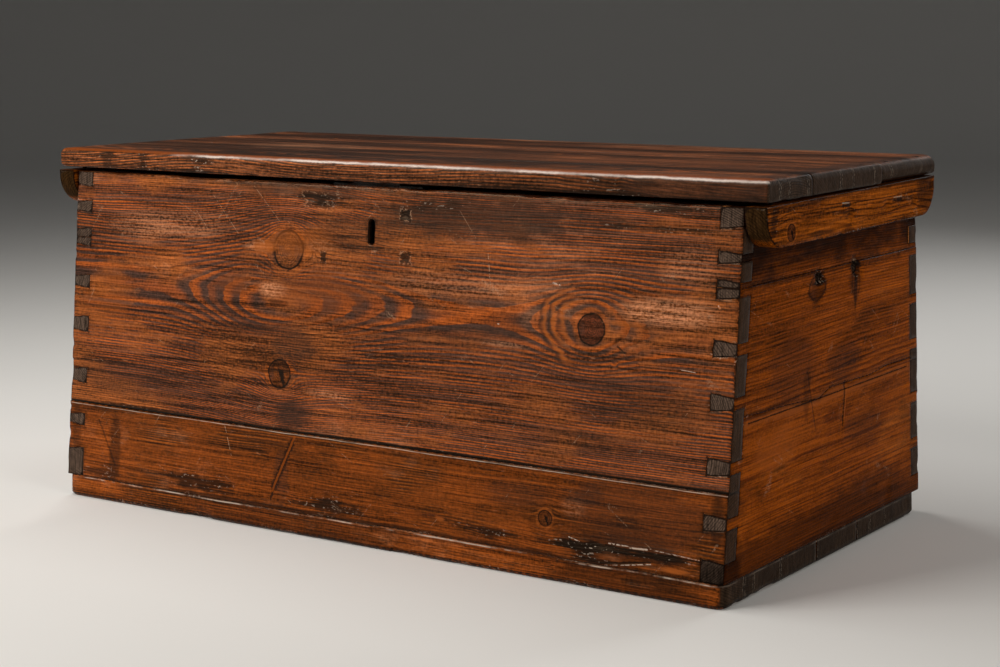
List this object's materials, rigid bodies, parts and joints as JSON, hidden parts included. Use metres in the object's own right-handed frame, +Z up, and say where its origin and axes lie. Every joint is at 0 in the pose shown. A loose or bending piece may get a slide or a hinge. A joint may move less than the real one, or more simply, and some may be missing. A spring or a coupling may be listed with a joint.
{
  "type": "tool chest",
  "caption": "Pine tool chest with splayed front and back, through-dovetailed corners, battened lid on butt hinges, link-plate lock and a sliding till.",
  "frame": {"origin": "on the floor under the middle of the chest", "axes": "+X along the chest to the right, +Y to the back, +Z up"},
  "size_m": [0.9708, 0.5013, 0.4281],
  "materials": {
    "wall_pine": "aged pine, waxed and worn",
    "bottom_pine": "blackened pine, rough and worn",
    "lid_pine": "dark aged pine, satin wax",
    "till_pine": "unfinished pine, handled",
    "hinge_iron": "dark wrought iron with a little rust",
    "lock_iron": "dark iron, rubbed bright at the edges",
    "nail_iron": "rusted iron"
  },
  "bodies": {
    "carcase": {"back_lower_board": "wall_pine", "back_upper_board": "wall_pine", "bottom_front_board": "bottom_pine", "bottom_middle_board": "bottom_pine", "bottom_nails": "nail_iron", "bottom_rear_board": "bottom_pine", "front_lower_board": "wall_pine", "front_upper_board": "wall_pine", "hinge_back_screws": "hinge_iron", "left_end_lower_board": "wall_pine", "left_end_middle_board": "wall_pine", "left_end_upper_board": "wall_pine", "left_hinge_back_leaf": "hinge_iron", "left_hinge_pin": "hinge_iron", "lock_cap": "lock_iron", "lock_plate": "lock_iron", "lock_screws": "lock_iron", "lock_spring": "lock_iron", "right_end_lower_board": "wall_pine", "right_end_middle_board": "wall_pine", "right_end_upper_board": "wall_pine", "right_hinge_back_leaf": "hinge_iron", "right_hinge_pin": "hinge_iron", "runner_nails": "nail_iron", "till_back_runner": "till_pine", "till_front_runner": "till_pine"},
    "lid": {"hinge_lid_screws": "hinge_iron", "left_batten_nails": "nail_iron", "left_hinge_lid_leaf": "hinge_iron", "lid_front_board": "lid_pine", "lid_left_batten": "lid_pine", "lid_middle_board": "lid_pine", "lid_rear_board": "lid_pine", "lid_right_batten": "lid_pine", "link_plate_screws": "lock_iron", "lock_link_plate": "lock_iron", "right_batten_nails": "nail_iron", "right_hinge_lid_leaf": "hinge_iron"},
    "bolt": {"lock_bolt": "lock_iron"},
    "till": {"till_front": "till_pine", "till_back": "till_pine", "till_left_end": "till_pine", "till_right_end": "till_pine", "till_divider": "till_pine", "till_bottom": "till_pine", "till_brads": "nail_iron"}
  },
  "joints": [
    {"name": "lid_hinge", "type": "hinge", "parent": "carcase", "child": "lid", "pos_m": [0, 0.2138, 0.40265], "axis": [-1, 0, 0], "range_deg": [0, 100]},
    {"name": "lock_bolt_slide", "type": "slide", "parent": "carcase", "child": "bolt", "axis": [1, 0, 0], "range_m": [0, 0.008]},
    {"name": "till_slide", "type": "slide", "parent": "carcase", "child": "till", "axis": [1, 0, 0], "range_m": [-0.011, 0.551]}
  ]
}
